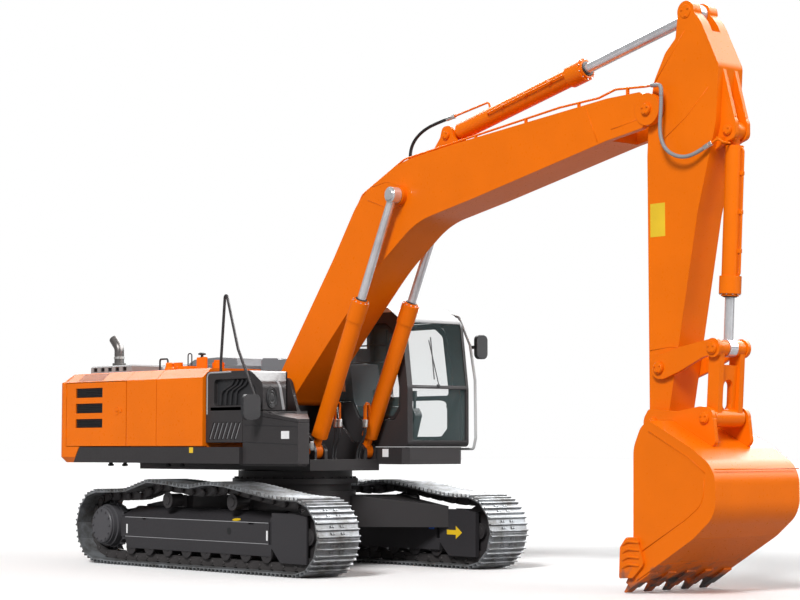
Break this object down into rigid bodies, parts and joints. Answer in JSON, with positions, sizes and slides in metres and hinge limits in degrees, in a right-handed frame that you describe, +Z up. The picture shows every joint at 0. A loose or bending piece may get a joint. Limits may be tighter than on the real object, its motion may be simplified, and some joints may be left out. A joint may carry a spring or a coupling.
{
  "type": "crawler excavator",
  "caption": "Crawler excavator: house that swings on a track frame, gooseneck boom, arm and bucket on pins, each with its own hydraulic cylinder, and doors that open.",
  "frame": {"origin": "on the ground, under the swing axis, midway between the tracks", "axes": "+X forward over the idlers and the bucket, +Y to the cab side (left), +Z up"},
  "size_m": [10.59, 3.53, 5.923],
  "materials": {
    "orange_paint": "glossy orange enamel",
    "dark_paint": "satin dark grey enamel",
    "grey_paint": "satin mid grey enamel",
    "roof_grey": "satin light grey enamel",
    "worn_steel": "bare worn steel",
    "bright_rod": "hard chrome, polished",
    "glass": "clear, slightly green",
    "black_plastic": "matt black",
    "seat_cloth": "dark woven cloth",
    "black_rubber": "black hose rubber",
    "grey_rubber": "grey hose in a braided sleeve",
    "sooty_steel": "heat-dulled steel"
  },
  "bodies": {
    "undercarriage": {"track_right": "worn_steel", "sprocket_right": "dark_paint", "idler_right": "dark_paint", "track_rollers_right": "dark_paint", "track_frame_right": "dark_paint", "track_left": "worn_steel", "sprocket_left": "dark_paint", "idler_left": "dark_paint", "track_rollers_left": "dark_paint", "track_frame_left": "dark_paint", "center_frame": "dark_paint", "tow_lugs": "dark_paint", "swing_bearing": "dark_paint"},
    "house": {"swing_frame": "dark_paint", "counterweight": "orange_paint", "engine": "grey_paint", "bulkheads": "dark_paint", "top_cover": "orange_paint", "exhaust": "sooty_steel", "hydraulic_tank": "orange_paint", "fuel_tank": "orange_paint", "front_cover": "dark_paint", "toolbox": "dark_paint", "left_cover": "orange_paint", "middle_cover": "grey_paint", "cab_shell": "dark_paint", "cab_glass": "glass", "seat": "seat_cloth", "console": "black_plastic", "handrails": "dark_paint", "cab_rail": "roof_grey", "mirrors": "black_plastic", "boom_hose_right_rear": "black_rubber", "boom_hose_right_front": "black_rubber", "boom_hose_left_rear": "black_rubber", "boom_hose_left_front": "black_rubber"},
    "pump_door": {"pump_door": "orange_paint"},
    "radiator_door": {"radiator_door": "orange_paint"},
    "engine_hood": {"engine_hood": "grey_paint"},
    "toolbox_lid": {"toolbox_lid": "dark_paint"},
    "cab_door": {"cab_door": "dark_paint"},
    "boom": {"boom": "orange_paint", "boom_pipes": "orange_paint", "arm_hose": "grey_rubber", "arm_cylinder_hose": "black_rubber"},
    "boom_cylinder_right": {"boom_cylinder_right": "orange_paint"},
    "boom_rod_right": {"boom_rod_right": "bright_rod"},
    "boom_cylinder_left": {"boom_cylinder_left": "orange_paint"},
    "boom_rod_left": {"boom_rod_left": "bright_rod"},
    "arm_cylinder": {"arm_cylinder": "orange_paint"},
    "arm_rod": {"arm_rod": "bright_rod"},
    "arm": {"arm": "orange_paint", "arm_pipes": "orange_paint"},
    "bucket_cylinder": {"bucket_cylinder": "orange_paint"},
    "bucket_rod": {"bucket_rod": "bright_rod"},
    "rocker_links": {"rocker_links": "orange_paint"},
    "h_link": {"h_link": "orange_paint"},
    "bucket": {"bucket": "orange_paint"}
  },
  "joints": [
    {"name": "swing", "type": "hinge", "parent": "undercarriage", "child": "house", "pos_m": [0, 0, 1.1], "axis": [0, 0, 1], "continuous": true},
    {"name": "boom_lift", "type": "hinge", "parent": "house", "child": "boom", "pos_m": [0.14, 0, 2.12], "axis": [0, -1, 0], "range_deg": [-60, 35]},
    {"name": "arm_swing", "type": "hinge", "parent": "boom", "child": "arm", "pos_m": [6.12, 0, 4.87], "axis": [0, 1, 0], "range_deg": [-85, 25], "deforming": ["arm_hose"]},
    {"name": "bucket_curl", "type": "hinge", "parent": "arm", "child": "bucket", "pos_m": [6.185, 0, 1.69], "axis": [0, 1, 0], "range_deg": [-38, 118]},
    {"name": "boom_cylinder_right_pivot", "type": "hinge", "parent": "house", "child": "boom_cylinder_right", "pos_m": [0.875, -0.387, 1.4], "axis": [0, -1, 0], "range_deg": [-58, 34], "deforming": ["boom_hose_right_rear", "boom_hose_right_front"]},
    {"name": "boom_rod_right_slide", "type": "slide", "parent": "boom_cylinder_right", "child": "boom_rod_right", "axis": [0.4374, 0, 0.8993], "range_m": [-0.98, 0.575]},
    {"name": "boom_cylinder_left_pivot", "type": "hinge", "parent": "house", "child": "boom_cylinder_left", "pos_m": [0.875, 0.387, 1.4], "axis": [0, -1, 0], "range_deg": [-58, 34], "deforming": ["boom_hose_left_rear", "boom_hose_left_front"]},
    {"name": "boom_rod_left_slide", "type": "slide", "parent": "boom_cylinder_left", "child": "boom_rod_left", "axis": [0.4374, 0, 0.8993], "range_m": [-0.98, 0.575]},
    {"name": "arm_cylinder_pivot", "type": "hinge", "parent": "boom", "child": "arm_cylinder", "pos_m": [2.9, 0, 4.985], "axis": [0, 1, 0], "range_deg": [-1, 0.5], "deforming": ["arm_cylinder_hose"]},
    {"name": "arm_rod_slide", "type": "slide", "parent": "arm_cylinder", "child": "arm_rod", "axis": [0.9754, 0, 0.2203], "range_m": [-1.31, 0.39]},
    {"name": "bucket_cylinder_pivot", "type": "hinge", "parent": "arm", "child": "bucket_cylinder", "pos_m": [7.05, 0, 4.57], "axis": [0, 1, 0], "range_deg": [-1, 3]},
    {"name": "bucket_rod_slide", "type": "slide", "parent": "bucket_cylinder", "child": "bucket_rod", "axis": [-0.0557, 0, -0.9984], "range_m": [-0.34, 1.02]},
    {"name": "rocker_pivot", "type": "hinge", "parent": "arm", "child": "rocker_links", "pos_m": [6.23, 0, 2.24], "axis": [0, 1, 0], "range_deg": [-31, 95]},
    {"name": "h_link_pivot", "type": "hinge", "parent": "bucket", "child": "h_link", "pos_m": [6.867, 0, 1.735], "axis": [0, 1, 0], "range_deg": [-80, 26]},
    {"name": "pump_door_hinge", "type": "hinge", "parent": "house", "child": "pump_door", "pos_m": [-2.88, -1.497, 1.9], "axis": [0, 0, -1], "range_deg": [0, 100]},
    {"name": "radiator_door_hinge", "type": "hinge", "parent": "house", "child": "radiator_door", "pos_m": [-2.88, 1.497, 1.9], "axis": [0, 0, 1], "range_deg": [0, 100]},
    {"name": "cab_door_hinge", "type": "hinge", "parent": "house", "child": "cab_door", "pos_m": [0.025, 1.502, 2.2], "axis": [0, 0, 1], "range_deg": [0, 170]},
    {"name": "engine_hood_hinge", "type": "hinge", "parent": "house", "child": "engine_hood", "pos_m": [-1.447, 0.2, 2.5], "axis": [0, 1, 0], "range_deg": [0, 60]},
    {"name": "toolbox_lid_hinge", "type": "hinge", "parent": "house", "child": "toolbox_lid", "pos_m": [1.262, -1.125, 1.845], "axis": [0, -1, 0], "range_deg": [0, 80]}
  ],
  "couplings": [
    {"joint": "boom_cylinder_right_pivot", "follows": "boom_lift", "ratio": 0.96},
    {"joint": "boom_rod_right_slide", "follows": "boom_lift", "m_per_rad": 0.93},
    {"joint": "boom_cylinder_left_pivot", "follows": "boom_lift", "ratio": 0.96},
    {"joint": "boom_rod_left_slide", "follows": "boom_lift", "m_per_rad": 0.93},
    {"joint": "arm_cylinder_pivot", "follows": "arm_swing", "ratio": 0.01},
    {"joint": "arm_rod_slide", "follows": "arm_swing", "m_per_rad": 0.88},
    {"joint": "bucket_cylinder_pivot", "follows": "bucket_curl", "ratio": 0.02},
    {"joint": "bucket_rod_slide", "follows": "bucket_curl", "m_per_rad": 0.49},
    {"joint": "rocker_pivot", "follows": "bucket_curl", "ratio": 0.77},
    {"joint": "h_link_pivot", "follows": "bucket_curl", "ratio": -0.675}
  ]
}
